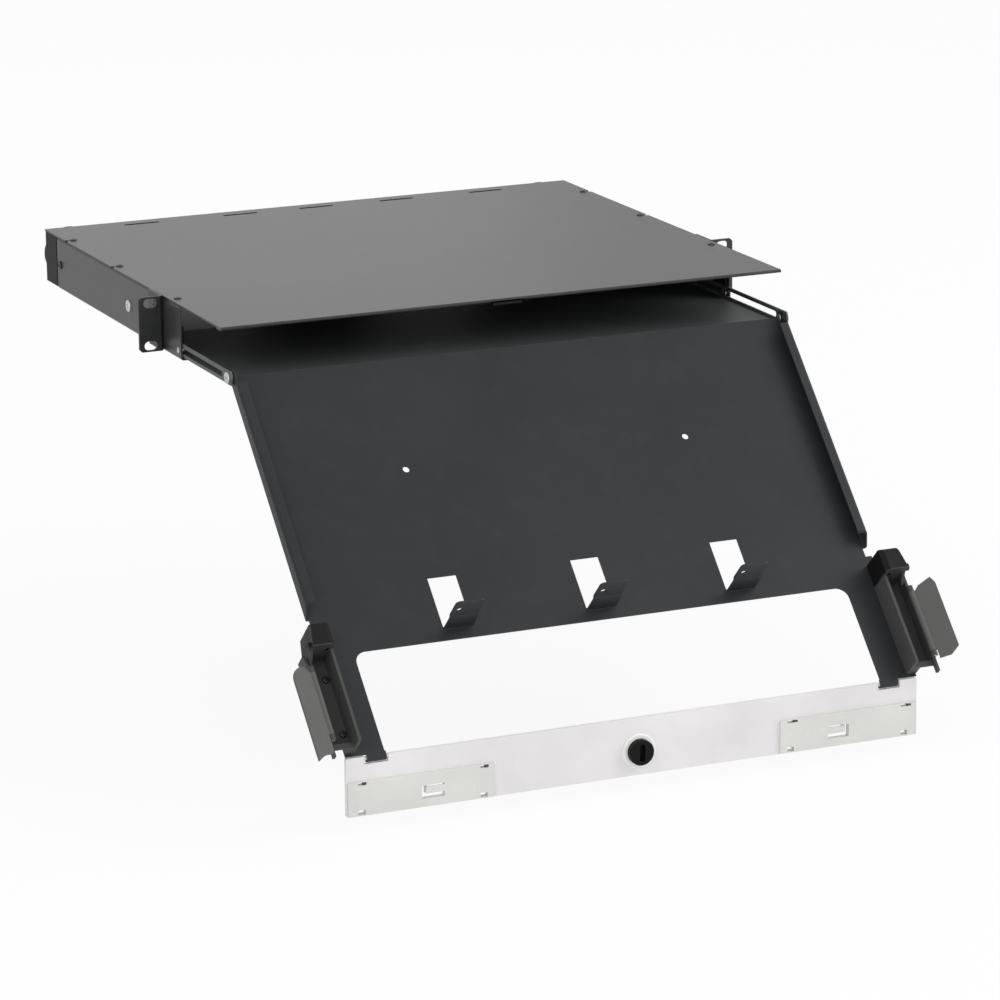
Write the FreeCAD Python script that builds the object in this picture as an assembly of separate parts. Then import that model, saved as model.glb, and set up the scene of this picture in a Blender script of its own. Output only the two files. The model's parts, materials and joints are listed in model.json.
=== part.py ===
import FreeCAD, Part
import math
import os

from FreeCAD import Matrix, Rotation, Vector

# One rack unit sliding and tilting patch drawer, drawn out and tilted down.
# Frame: X to the right, Y to the rear, Z up, in millimetres. The origin is the
# middle of the four rack slots, on the front face of the rack ears.

os.makedirs("parts", exist_ok=True)

# Sheet metal
SHEET = 1.2
BEND = 0.8
EAR_SHEET = 2.0
RAIL_SHEET = 1.2

# Chassis box
CHASSIS_HALF = 222.2
CHASSIS_TOP = 20.8
CHASSIS_BOTTOM = -20.7
CHASSIS_REAR = 270.0
WALL_FRONT = -35.4
COVER_FRONT = -119.6
COVER_HEM = 9.0
COVER_SCREW_ROWS = (WALL_FRONT + 21.0, CHASSIS_REAR - 158.0, CHASSIS_REAR - 51.0)
COVER_SLOT_LENGTH = 29.0
COVER_SLOT_WIDTH = 4.0
COVER_SLOT_INSET = 13.0
WALL_FLANGE = 12.0
REAR_CAP_DEPTH = 29.0
REAR_TONGUE = 14.0
SEAT = 0.05

# Rack ears and their slots, one rack unit pattern
SLOT_SPACING_X = 465.1
SLOT_SPACING_Z = 31.75
SLOT_WIDTH = 6.8
SLOT_LENGTH = 10.0
EAR_REACH = 19.1
EAR_HALF = CHASSIS_HALF + EAR_REACH
EAR_BOTTOM = -20.3
EAR_HEIGHT = 41.0
EAR_FLANGE = 27.0
EAR_CHAMFER = 2.0

# Slide rails
RAIL_GAP = 0.25
RAIL_TOP = -8.55
RAIL_SLOT = 4.6
RAIL_NOSE = 7.0
RAIL_SLOT_FRONT = 13.2
RAIL_PIN_FRONT_Y = -30.0
RAIL_PIN_PITCH = 62.0
RAIL_TAIL = 14.0
RAIL_FLOOR_FRONT = -120.0
RAIL_FLOOR_GAP = 0.2
RAIL_GUIDE_GAP = 0.2
RAIL_GUIDE_THICK = 2.0
RAIL_PIN_HEAD = 7.0
RAIL_PIN_HEAD_THICK = 0.45
RAIL_PIN_PLAY = 0.1
PIN_FIT = 0.15

# Pivot between the rails and the tray
PIVOT_Y = -127.7
PIVOT_Z = -13.75
PIVOT_SHANK = 4.0
PIVOT_FIT = 0.05
PIVOT_HEAD = 8.6
PIVOT_HEAD_THICK = 1.6
PIVOT_TAIL = 5.4
PIVOT_TAIL_THICK = 1.0
BUSH_WALL = 1.0
BUSH_FLANGE = 8.4
BUSH_FLANGE_THICK = 0.5
BUSH_PROUD = 0.6
TILT = 45.8

# Tray, in its own level frame: forward from the pivot and up from the floor
TRAY_GAP = 0.75
TRAY_HALF = CHASSIS_HALF - SHEET - RAIL_GAP - RAIL_SHEET - TRAY_GAP
TRAY_FLOOR_DROP = 2.9
TRAY_REAR = 2.0
TRAY_WALL = 10.4
TRAY_LIP = 7.5
DOOR_HINGE_FORWARD = 306.5
TRAY_WALL_END = DOOR_HINGE_FORWARD - 108.5
TRAY_WALL_CHAMFER = 9.0
TRAY_LUG = 5.6
ARM_STEP = 1.8
ARM_HALF = TRAY_HALF + ARM_STEP
ARM_START = TRAY_WALL_END + 7.0
ARM_END = DOOR_HINGE_FORWARD - 1.5
CUT_HALF = ARM_HALF - 29.1
CUT_REAR = DOOR_HINGE_FORWARD - 79.5
CUT_RADIUS = 9.0
BAY_PITCH = 110.0
BAY_COUNT = 4
WINDOW_WIDTH = 22.0
WINDOW_REAR = DOOR_HINGE_FORWARD - 129.5
WINDOW_LENGTH = 41.5
TAB_HEIGHT = 34.8
TAB_HOLE = 4.2
TAB_HOLE_HEIGHT = 24.0
TAB_HOLE_INSET = 5.0
TAB_JOGGLE = 15.0
FLOOR_HOLE = 5.0
FLOOR_HOLE_FORWARD = 88.7
HOOK_HALF = 7.2
HOOK_CENTRE = ARM_HALF - 22.6
HOOK_BORE = 1.7
HOOK_WRAP = 205.0

# Door
DOOR_SIDE_GAP = 0.1
DOOR_WIDTH = 2 * (ARM_HALF - DOOR_SIDE_GAP)
DOOR_HEIGHT = 42.0
DOOR_THICK = 3.0
DOOR_BAR = 1.4
DOOR_BAR_TO_EDGE = 1.6
DOOR_SLOT_DEEP = 3.7
DOOR_SLOT_SIDE = 1.6
DOOR_RIM = 1.6
DOOR_RIM_HEIGHT = 1.2
DOOR_KNOB_DROP = 24.2

# Label holders at the two ends of the door
LABEL_LENGTH = 109.0
LABEL_TOP = 17.2
LABEL_FOOT = 0.4
LABEL_THICK = 1.6
LABEL_CARD = 0.5
LABEL_LIP = 2.4
CLIP_FROM_END = 63.0
CLIP_DROP = 31.0
CLIP_LENGTH = 17.0
CLIP_HEIGHT = 9.5
CATCH_LENGTH = 8.0
CATCH_INSET = 9.0

# Latch
KNOB_DIAMETER = 18.6
KNOB_HEIGHT = 5.0
BEZEL_DIAMETER = 24.6
BEZEL_THICK = 1.4
LATCH_BORE = 11.0
LATCH_FIT = 0.08
LATCH_SLOT_WIDTH = 4.4
LATCH_SLOT_LENGTH = 13.0
KEEPER_WIDTH = 23.0
KEEPER_NOTCH = 27.0
KEEPER_LENGTH = 21.0
KEEPER_LIP = 1.4

# Cord guides on the tray arms
GUIDE_TROUGH = DOOR_HINGE_FORWARD - 76.0
GUIDE_REAR = GUIDE_TROUGH - 17.5
GUIDE_FRONT = DOOR_HINGE_FORWARD - 3.5
GUIDE_INNER = ARM_HALF - 7.2
GUIDE_OUTER = GUIDE_INNER + 20.2
GUIDE_WALL = 2.0
GUIDE_BASE = 2.4
GUIDE_INNER_TOP = 19.5
GUIDE_OUTER_TOP = 12.2
GUIDE_HOUSING_TOP = 27.4
GUIDE_HOUSING_REAR = GUIDE_INNER + 13.6
GUIDE_HOUSING_FRONT = GUIDE_INNER + 17.1
GUIDE_BLOCK = 4.0
GUIDE_LUG = 6.0
GUIDE_SEAT = 0.05

# Flaps on the cord guides
FLAP_U = GUIDE_OUTER - 1.7
FLAP_N = 15.5
FLAP_ANGLE = 23.7
FLAP_WIDTH = 18.7
FLAP_THICK = 1.8
FLAP_REAR = GUIDE_TROUGH + 15.5
FLAP_FRONT = GUIDE_FRONT - 2.5
FLAP_TIP = FLAP_FRONT + 15.5
FLAP_KNUCKLE = 2.3
FLAP_CORNER = 12.0
FLAP_ROOT = FLAP_KNUCKLE + 0.6
FLAP_PIN = 1.2
FLAP_PIN_FIT = 0.08

# Cable entries at the rear corners
GLAND_X = CHASSIS_HALF - 20.8
GLAND_OUTER = 20.2
GLAND_BORE = 13.5
GLAND_REACH = 9.5
GLAND_THREAD = 16.5
GLAND_NUT = 19.0
GLAND_NUT_THICK = 4.0
GLAND_SEAL_THICK = 2.0
GLAND_SEAL_BORE = 5.0

# Fasteners
SCREW_HEAD = 6.0
SCREW_HEAD_THICK = 1.6
SCREW_SHANK = 3.0

tilt_turn = Rotation(Vector(1, 0, 0), TILT)
pivot_point = Vector(0, PIVOT_Y, PIVOT_Z)


# Solids and sections

def box(x0, x1, y0, y1, z0, z1):
    size = (abs(x1 - x0), abs(y1 - y0), abs(z1 - z0))
    return Part.makeBox(*size, Vector(min(x0, x1), min(y0, y1), min(z0, z1)))


def rod(radius, start, end):
    run = Vector(*end) - Vector(*start)
    return Part.makeCylinder(radius, run.Length, Vector(*start), run)


def ring(outer, inner, start, end):
    return rod(outer, start, end).cut(rod(inner, start, end))


def obround(length, width, centre, along, through, depth):
    """A slot with round ends, along one direction and cut through another."""
    along = Vector(*along).normalize()
    through = Vector(*through).normalize()
    start = Vector(*centre) - through * (depth / 2)
    half = (length - width) / 2
    ends = [start - along * half, start + along * half]
    body = Part.makeCylinder(width / 2, depth, ends[0], through)
    body = body.fuse(Part.makeCylinder(width / 2, depth, ends[1], through))
    side = through.cross(along) * (width / 2)
    corners = [ends[0] - side, ends[1] - side, ends[1] + side, ends[0] + side, ends[0] - side]
    middle = Part.Face(Part.makePolygon(corners)).extrude(through * depth)
    return body.fuse(middle)


def prism(points, direction):
    loop = [Vector(*p) for p in points]
    loop.append(loop[0])
    return Part.Face(Part.makePolygon(loop)).extrude(Vector(*direction))


def folded_sheet(path, thickness, bend, place, sweep):
    """Constant-thickness sheet: a centre path with rounded bends, swept straight."""
    points = [Vector(a, b, 0) for a, b in path]
    half = thickness / 2
    centre_radius = bend + half
    left = []
    right = []
    up = Vector(0, 0, 1)

    def add(edges, start, end):
        if (end - start).Length > 1e-6:
            edges.append(Part.LineSegment(start, end).toShape())

    start = points[0]
    heading = (points[1] - points[0]).normalize()
    for k in range(1, len(points) - 1):
        leaving = (points[k + 1] - points[k]).normalize()
        turn = math.acos(max(-1.0, min(1.0, heading.dot(leaving))))
        sign = 1 if heading.cross(leaving).z > 0 else -1
        set_back = centre_radius * math.tan(turn / 2)
        first = points[k] - heading * set_back
        last = points[k] + leaving * set_back
        side_in = up.cross(heading)
        side_out = up.cross(leaving)
        hub = first + side_in * (sign * centre_radius)
        middle = (points[k] - hub).normalize()
        for edges, side in ((left, 1), (right, -1)):
            add(edges, start + side_in * (side * half), first + side_in * (side * half))
            radius = centre_radius - sign * side * half
            arc = Part.Arc(first + side_in * (side * half), hub + middle * radius,
                           last + side_out * (side * half))
            edges.append(arc.toShape())
        start = last
        heading = leaving
    side_in = up.cross(heading)
    end = points[-1]
    for edges, side in ((left, 1), (right, -1)):
        add(edges, start + side_in * (side * half), end + side_in * (side * half))
    cap_start = up.cross((points[1] - points[0]).normalize())
    loop = list(left)
    loop.append(Part.LineSegment(end + side_in * half, end - side_in * half).toShape())
    loop.extend(reversed(right))
    loop.append(Part.LineSegment(points[0] - cap_start * half, points[0] + cap_start * half).toShape())
    face = Part.Face(Part.Wire(Part.__sortEdges__(loop)))
    face = face.transformGeometry(place)
    return face.extrude(Vector(*sweep))


def plane_xz(y):
    """Sends a drawing in (x, z) to the upright plane across the object at y."""
    return Matrix(1, 0, 0, 0, 0, 0, 1, y, 0, 1, 0, 0, 0, 0, 0, 1)


def plane_xy(z):
    return Matrix(1, 0, 0, 0, 0, 1, 0, 0, 0, 0, 1, z, 0, 0, 0, 1)


def plane_yz(x):
    return Matrix(0, 0, 1, x, 1, 0, 0, 0, 0, 1, 0, 0, 0, 0, 0, 1)


def mirrored(shape):
    return shape.mirror(Vector(0, 0, 0), Vector(1, 0, 0))


def both_sides(shape):
    return [shape, mirrored(shape)]


def joined(shapes):
    return shapes[0].fuse(shapes[1:]).removeSplitter()


def save(name, shape):
    shape.exportStep("parts/" + name + ".step")


def save_pair(name, right_shape):
    save("right_" + name, right_shape)
    save("left_" + name, mirrored(right_shape))


def save_group(name, solids):
    save(name, Part.makeCompound(solids))


# The tray's own frame is level, with the pivot axis at its origin.

def tray_point(across, forward, up):
    return Vector(across, -forward, up - TRAY_FLOOR_DROP)


def tilted(shape):
    placed = shape.copy()
    placed.rotate(Vector(0, 0, 0), Vector(1, 0, 0), TILT)
    placed.translate(pivot_point)
    return placed


def tray_box(across0, across1, forward0, forward1, up0, up1):
    a = tray_point(across0, forward0, up0)
    b = tray_point(across1, forward1, up1)
    return box(a.x, b.x, a.y, b.y, a.z, b.z)


def pan_screw(centre, outward, head=SCREW_HEAD, thick=SCREW_HEAD_THICK, shank=SCREW_SHANK, length=5.0):
    """Round-topped screw; the centre is on the seat and outward points at the head."""
    seat = Vector(*centre)
    out = Vector(*outward).normalize()
    body = Part.makeCylinder(head / 2, thick, seat, out)
    rim = [e for e in body.Edges if abs((e.BoundBox.Center - seat).dot(out) - thick) < 0.01]
    body = body.makeFillet(thick * 0.55, rim)
    socket = Part.makeCylinder(head * 0.2, thick * 0.55, seat + out * thick * 0.5, out)
    return body.cut(socket).fuse(Part.makeCylinder(shank / 2, length, seat - out * length, out))


# Chassis

def chassis_pan():
    wall = CHASSIS_HALF - SHEET / 2
    floor = CHASSIS_BOTTOM + SHEET / 2
    flange = CHASSIS_TOP - SHEET - SEAT - SHEET / 2
    inner = CHASSIS_HALF - WALL_FLANGE
    path = [(inner, flange), (wall, flange), (wall, floor), (-wall, floor), (-wall, flange),
            (-inner, flange)]
    rear = CHASSIS_REAR - REAR_CAP_DEPTH
    pan = folded_sheet(path, SHEET, BEND, plane_xz(WALL_FRONT), (0, rear - WALL_FRONT, 0))
    rear_floor = box(-CHASSIS_HALF + 2, CHASSIS_HALF - 2, rear - 1, CHASSIS_REAR - SHEET - SEAT,
                     CHASSIS_BOTTOM, CHASSIS_BOTTOM + SHEET)
    pan = pan.fuse(rear_floor)
    holes = []
    for y in rail_pin_places():
        for side in (-1, 1):
            holes.append(rod(1.6, (side * (CHASSIS_HALF - 3), y, PIVOT_Z),
                             (side * (CHASSIS_HALF + 1), y, PIVOT_Z)))
    for y, z in ear_screw_places():
        for side in (-1, 1):
            holes.append(rod(SCREW_SHANK / 2 + 0.1, (side * (CHASSIS_HALF - 3), y, z),
                             (side * (CHASSIS_HALF + 1), y, z)))
    for x, y in cover_screw_places():
        holes.append(rod(SCREW_SHANK / 2 + 0.1, (x, y, flange - 2), (x, y, flange + 2)))
    for side in (-1, 1):
        y, z = rear_screw_place()
        holes.append(rod(SCREW_SHANK / 2 + 0.1, (side * (CHASSIS_HALF - 3), y, z),
                         (side * (CHASSIS_HALF + 1), y, z)))
        y, z = side_screw_place()
        holes.append(rod(SCREW_SHANK / 2 + 0.1, (side * (CHASSIS_HALF - 3), y, z),
                         (side * (CHASSIS_HALF + 1), y, z)))
    return pan.cut(Part.makeCompound(holes))


def rail_pin_places():
    return [RAIL_PIN_FRONT_Y, RAIL_PIN_FRONT_Y + RAIL_PIN_PITCH]


def ear_screw_places():
    return [(EAR_SHEET + 10.0, -12.0), (EAR_SHEET + 10.0, 12.0), (EAR_SHEET + 18.0, 0.0)]


def rear_screw_place():
    return (CHASSIS_REAR - REAR_CAP_DEPTH - REAR_TONGUE / 2, -1.0)


def side_screw_place():
    return (76.0, -2.0)


def cover_screw_places():
    places = []
    for y in COVER_SCREW_ROWS:
        for side in (-1, 1):
            places.append((side * (CHASSIS_HALF - WALL_FLANGE / 2), y))
    return places


def top_cover():
    top = CHASSIS_TOP
    plate = box(-CHASSIS_HALF, CHASSIS_HALF, COVER_FRONT + SHEET, CHASSIS_REAR, top - SHEET, top)
    hem_path = [(COVER_FRONT + COVER_HEM, top - SHEET * 1.5 - 0.02),
                (COVER_FRONT + SHEET / 2, top - SHEET * 1.5 - 0.02),
                (COVER_FRONT + SHEET / 2, top - SHEET / 2), (COVER_FRONT + COVER_HEM, top - SHEET / 2)]
    hem = folded_sheet(hem_path, SHEET, 0.01, plane_yz(-CHASSIS_HALF), (2 * CHASSIS_HALF, 0, 0))
    cover = plate.fuse(hem).removeSplitter()
    notch_half = KEEPER_NOTCH / 2
    cuts = [box(-notch_half, notch_half, COVER_FRONT - 1, COVER_FRONT + 3.5, top - 4, top - SHEET)]
    for x, y in cover_screw_places():
        cuts.append(rod(SCREW_SHANK / 2 + 0.1, (x, y, top - 3), (x, y, top + 1)))
    for share in (-0.66, -0.29, 0.0, 0.31, 0.66):
        place = (share * CHASSIS_HALF, CHASSIS_REAR - COVER_SLOT_INSET, top)
        cuts.append(obround(COVER_SLOT_LENGTH, COVER_SLOT_WIDTH, place, (1, 0, 0), (0, 0, 1), 6))
    for side in (-1, 1):
        for y in COVER_SCREW_ROWS[1:]:
            cuts.append(rod(2.6, (side * CHASSIS_HALF, y, top - 3), (side * CHASSIS_HALF, y, top + 1)))
    return cover.cut(Part.makeCompound(cuts))


def rear_panel():
    back = CHASSIS_REAR - SHEET / 2
    shell = CHASSIS_HALF - SHEET / 2
    tongue = shell - SHEET - SEAT
    cap_front = CHASSIS_REAR - REAR_CAP_DEPTH + 0.4
    path = [(tongue, cap_front - REAR_TONGUE), (tongue, cap_front), (shell, cap_front + 2.2), (shell, back),
            (-shell, back), (-shell, cap_front + 2.2), (-tongue, cap_front), (-tongue,
                                                                              cap_front - REAR_TONGUE)]
    low = CHASSIS_BOTTOM + SHEET + SEAT
    high = CHASSIS_TOP - SHEET - SEAT
    panel = folded_sheet(path, SHEET, 0.5, plane_xy(low), (0, 0, high - low))
    bend_room = BEND + 0.3
    tongue_end = cap_front - REAR_TONGUE - 1
    panel = panel.cut(box(-CHASSIS_HALF, CHASSIS_HALF, tongue_end, cap_front + 0.3,
                          high - SHEET - bend_room, high + 1))
    panel = panel.cut(box(-CHASSIS_HALF, CHASSIS_HALF, tongue_end, cap_front + 0.3,
                          low - 1, low + bend_room))
    cuts = []
    middle = (low + high) / 2
    for side in (-1, 1):
        cuts.append(rod(GLAND_THREAD + 0.1, (side * GLAND_X, CHASSIS_REAR - 4, middle),
                        (side * GLAND_X, CHASSIS_REAR + 1, middle)))
        y, z = rear_screw_place()
        cuts.append(rod(SCREW_SHANK / 2 + 0.1, (side * (CHASSIS_HALF - 5), y, z),
                        (side * (CHASSIS_HALF + 1), y, z)))
        place = (side * 0.43 * CHASSIS_HALF, CHASSIS_REAR, middle)
        cuts.append(obround(90.0, 22.0, place, (1, 0, 0), (0, 1, 0), 6))
    return panel.cut(Part.makeCompound(cuts))


def rack_ear():
    """Right ear: a plate across the rack face, folded back along the chassis wall."""
    high = EAR_BOTTOM + EAR_HEIGHT
    face_y = EAR_SHEET / 2
    wall_x = CHASSIS_HALF + SEAT + EAR_SHEET / 2
    path = [(EAR_HALF, face_y), (wall_x, face_y), (wall_x, EAR_FLANGE)]
    ear = folded_sheet(path, EAR_SHEET, 0.6, plane_xy(EAR_BOTTOM), (0, 0, EAR_HEIGHT))
    for z in (EAR_BOTTOM, high):
        sign = 1 if z == EAR_BOTTOM else -1
        corner = [(EAR_HALF + 1, -1, z - sign), (EAR_HALF - EAR_CHAMFER, -1, z - sign),
                  (EAR_HALF - EAR_CHAMFER, -1, z), (EAR_HALF, -1, z + sign * EAR_CHAMFER),
                  (EAR_HALF + 1, -1, z + sign * EAR_CHAMFER)]
        ear = ear.cut(prism(corner, (0, EAR_SHEET + 2, 0)))
    for z in (-SLOT_SPACING_Z / 2, SLOT_SPACING_Z / 2):
        ear = ear.cut(obround(SLOT_LENGTH, SLOT_WIDTH, (SLOT_SPACING_X / 2, face_y, z), (1, 0, 0),
                              (0, 1, 0), 8))
    for y, z in ear_screw_places():
        ear = ear.cut(rod(SCREW_SHANK / 2 + 0.1, (CHASSIS_HALF - 1, y, z), (CHASSIS_HALF + 4, y, z)))
    return ear


def cable_gland():
    """Right rear cable entry: a rounded flange outside, a threaded neck through the panel."""
    z = (CHASSIS_BOTTOM + CHASSIS_TOP) / 2
    seat = CHASSIS_REAR + SEAT
    end = CHASSIS_REAR + GLAND_REACH
    flange = rod(GLAND_OUTER, (GLAND_X, seat, z), (GLAND_X, end, z))
    rim = [e for e in flange.Edges if abs(e.BoundBox.Center.y - end) < 0.01]
    flange = flange.makeFillet(5.5, rim)
    neck = rod(GLAND_THREAD, (GLAND_X, CHASSIS_REAR - SHEET - 8.0, z), (GLAND_X, seat + 1, z))
    body = flange.fuse(neck)
    bore = rod(GLAND_BORE, (GLAND_X, CHASSIS_REAR - 20, z), (GLAND_X, end + 1, z))
    body = body.cut(bore)
    lip = [e for e in body.Edges if abs(e.BoundBox.Center.y - end) < 0.01
           and e.BoundBox.XLength < 2 * GLAND_BORE + 0.1]
    return body.makeFillet(0.7, lip)


def gland_nut():
    z = (CHASSIS_BOTTOM + CHASSIS_TOP) / 2
    front = CHASSIS_REAR - SHEET - SEAT - GLAND_NUT_THICK
    back = CHASSIS_REAR - SHEET - SEAT
    nut = rod(GLAND_NUT, (GLAND_X, front, z), (GLAND_X, back, z))
    nut = nut.cut(rod(GLAND_THREAD + 0.1, (GLAND_X, front - 1, z), (GLAND_X, back + 1, z)))
    cuts = []
    for k in range(8):
        angle = math.radians(45 * k + 22.5)
        x = GLAND_X + (GLAND_NUT + 0.6) * math.cos(angle)
        cuts.append(rod(2.0, (x, front - 1, z + (GLAND_NUT + 0.6) * math.sin(angle)),
                        (x, back + 1, z + (GLAND_NUT + 0.6) * math.sin(angle))))
    return nut.cut(Part.makeCompound(cuts))


def gland_seal():
    """Slotted rubber membrane inside the cable entry."""
    z = (CHASSIS_BOTTOM + CHASSIS_TOP) / 2
    front = CHASSIS_REAR + 1.0
    back = front + GLAND_SEAL_THICK
    seal = rod(GLAND_BORE - SEAT, (GLAND_X, front, z), (GLAND_X, back, z))
    cuts = [rod(GLAND_SEAL_BORE, (GLAND_X, front - 1, z), (GLAND_X, back + 1, z))]
    for k in range(4):
        angle = 90 * k
        petal = box(GLAND_X, GLAND_X + GLAND_BORE - 1.5, front - 1, back + 1, z - 0.3, z + 0.3)
        petal.rotate(Vector(GLAND_X, 0, z), Vector(0, 1, 0), angle)
        cuts.append(petal)
    return seal.cut(Part.makeCompound(cuts))


def latch_keeper():
    """Strike strip under the cover with a short lip in the notch of the hem."""
    top = CHASSIS_TOP - 2 * SHEET - 0.1
    middle = top - SHEET / 2
    front = COVER_FRONT + 1.0
    rear = COVER_FRONT + KEEPER_LENGTH
    path = [(rear, middle), (front, middle), (front, middle - KEEPER_LIP)]
    strip = folded_sheet(path, SHEET, 0.5, plane_yz(-KEEPER_WIDTH / 2), (KEEPER_WIDTH, 0, 0))
    spacer = box(-KEEPER_WIDTH / 2, KEEPER_WIDTH / 2, COVER_FRONT + COVER_HEM + 0.5, rear,
                 top, CHASSIS_TOP - SHEET - 0.02)
    return joined([strip, spacer])


# Rails

def rail_outer_face():
    return CHASSIS_HALF - SHEET - RAIL_GAP


def slide_carriage():
    """One bent sheet: a floor between two slotted side rails with round noses."""
    outer = rail_outer_face()
    inner = outer - RAIL_SHEET
    low = CHASSIS_BOTTOM + SHEET + RAIL_FLOOR_GAP
    slot_front = PIVOT_Y + RAIL_SLOT_FRONT
    slot_rear = RAIL_PIN_FRONT_Y + RAIL_PIN_PITCH
    rear = slot_rear + RAIL_TAIL
    reach = outer - RAIL_SHEET / 2
    floor = low + RAIL_SHEET / 2
    path = [(reach, RAIL_TOP), (reach, floor), (-reach, floor), (-reach, RAIL_TOP)]
    body = folded_sheet(path, RAIL_SHEET, BEND, plane_xz(RAIL_FLOOR_FRONT), (0, rear - RAIL_FLOOR_FRONT, 0))
    pieces = [body]
    cuts = []
    length = slot_rear - slot_front + RAIL_SLOT
    middle = (slot_rear + slot_front) / 2
    for side in (-1, 1):
        arm = box(side * inner, side * outer, PIVOT_Y, RAIL_FLOOR_FRONT + 1, low + 2.2, RAIL_TOP)
        nose = rod(RAIL_NOSE, (side * inner, PIVOT_Y, PIVOT_Z), (side * outer, PIVOT_Y, PIVOT_Z))
        nose = nose.common(box(side * inner, side * outer, PIVOT_Y - RAIL_NOSE, PIVOT_Y + 1, low + 0.6,
                               RAIL_TOP))
        heel = prism([(side * inner, PIVOT_Y, low + 0.6), (side * inner, RAIL_FLOOR_FRONT + 1, low + 1.0),
                      (side * inner, RAIL_FLOOR_FRONT + 1, low + 3.0), (side * inner, PIVOT_Y, low + 3.0)],
                     (side * RAIL_SHEET, 0, 0))
        pieces += [arm, nose, heel]
        centre = (side * reach, middle, PIVOT_Z)
        cuts.append(obround(length, RAIL_SLOT, centre, (0, 1, 0), (1, 0, 0), 6))
        cuts.append(rod(PIVOT_SHANK / 2 + 0.03, (side * (inner - 1), PIVOT_Y, PIVOT_Z),
                        (side * (outer + 1), PIVOT_Y, PIVOT_Z)))
    return joined(pieces).cut(Part.makeCompound(cuts)).removeSplitter()


def rail_pin(y):
    """Shoulder rivet through the chassis wall: the rail's slot runs on it."""
    outer = rail_outer_face()
    inner = outer - RAIL_SHEET
    shoulder = rod(RAIL_SLOT / 2 - PIN_FIT, (inner - RAIL_PIN_PLAY, y, PIVOT_Z),
                   (CHASSIS_HALF - SHEET, y, PIVOT_Z))
    head_start = inner - RAIL_PIN_PLAY - RAIL_PIN_HEAD_THICK
    head = rod(RAIL_PIN_HEAD / 2, (head_start, y, PIVOT_Z), (inner - RAIL_PIN_PLAY, y, PIVOT_Z))
    shank = rod(1.5, (CHASSIS_HALF - SHEET, y, PIVOT_Z), (CHASSIS_HALF, y, PIVOT_Z))
    tail = rod(2.4, (CHASSIS_HALF, y, PIVOT_Z), (CHASSIS_HALF + 0.4, y, PIVOT_Z))
    return joined([shoulder, head, shank, tail])


def rail_guide():
    """Right guide strip: a plastic bar on the wall that keeps the rail level from above."""
    low = RAIL_TOP + RAIL_GUIDE_GAP
    screw_y, screw_z = side_screw_place()
    high = 2 * screw_z - low
    wall = CHASSIS_HALF - SHEET - SEAT
    start = WALL_FRONT + 2.0
    end = screw_y + 40.0
    bar = box(wall - RAIL_GUIDE_THICK, wall, start, end, low, high)
    long_edges = [e for e in bar.Edges if e.Length > 100 and abs(e.BoundBox.Center.x - wall) > 1]
    bar = bar.makeFillet(0.8, long_edges)
    pockets = []
    for k in range(4):
        y = start + 18.0 + 20.0 * k
        pockets.append(obround(12.0, 5.0, (wall - RAIL_GUIDE_THICK, y, screw_z), (0, 1, 0), (1, 0, 0), 2.0))
    bar = bar.cut(Part.makeCompound(pockets))
    return bar.cut(rod(SCREW_SHANK / 2, (wall - 5, screw_y, screw_z), (wall + 1, screw_y, screw_z)))


def pivot_rivet():
    """Right pivot rivet, headed outside the rail nose and clinched inside the tray bush."""
    outer = rail_outer_face()
    axis = (PIVOT_Y, PIVOT_Z)
    head_end = outer + PIVOT_HEAD_THICK
    tail_start = TRAY_HALF - SHEET - BUSH_PROUD - SEAT
    head = rod(PIVOT_HEAD / 2, (outer, *axis), (head_end, *axis))
    rim = [e for e in head.Edges if abs(e.BoundBox.Center.x - head_end) < 0.01]
    head = head.makeFillet(0.9, rim)
    dimple = rod(1.2, (head_end - 0.7, *axis), (head_end + 1, *axis))
    shank = rod(PIVOT_SHANK / 2, (tail_start - 0.5, *axis), (outer + 0.5, *axis))
    tail = rod(PIVOT_TAIL / 2, (tail_start - PIVOT_TAIL_THICK, *axis), (tail_start, *axis))
    edge = [e for e in tail.Edges if abs(e.BoundBox.Center.x - tail_start + PIVOT_TAIL_THICK) < 0.01]
    tail = tail.makeFillet(0.4, edge)
    return joined([head, shank, tail]).cut(dimple)


# Tray

def hinge_up():
    """Height of the door hinge axis over the top of the tray floor."""
    return -SHEET / 2 - (HOOK_BORE + SHEET / 2)


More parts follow.
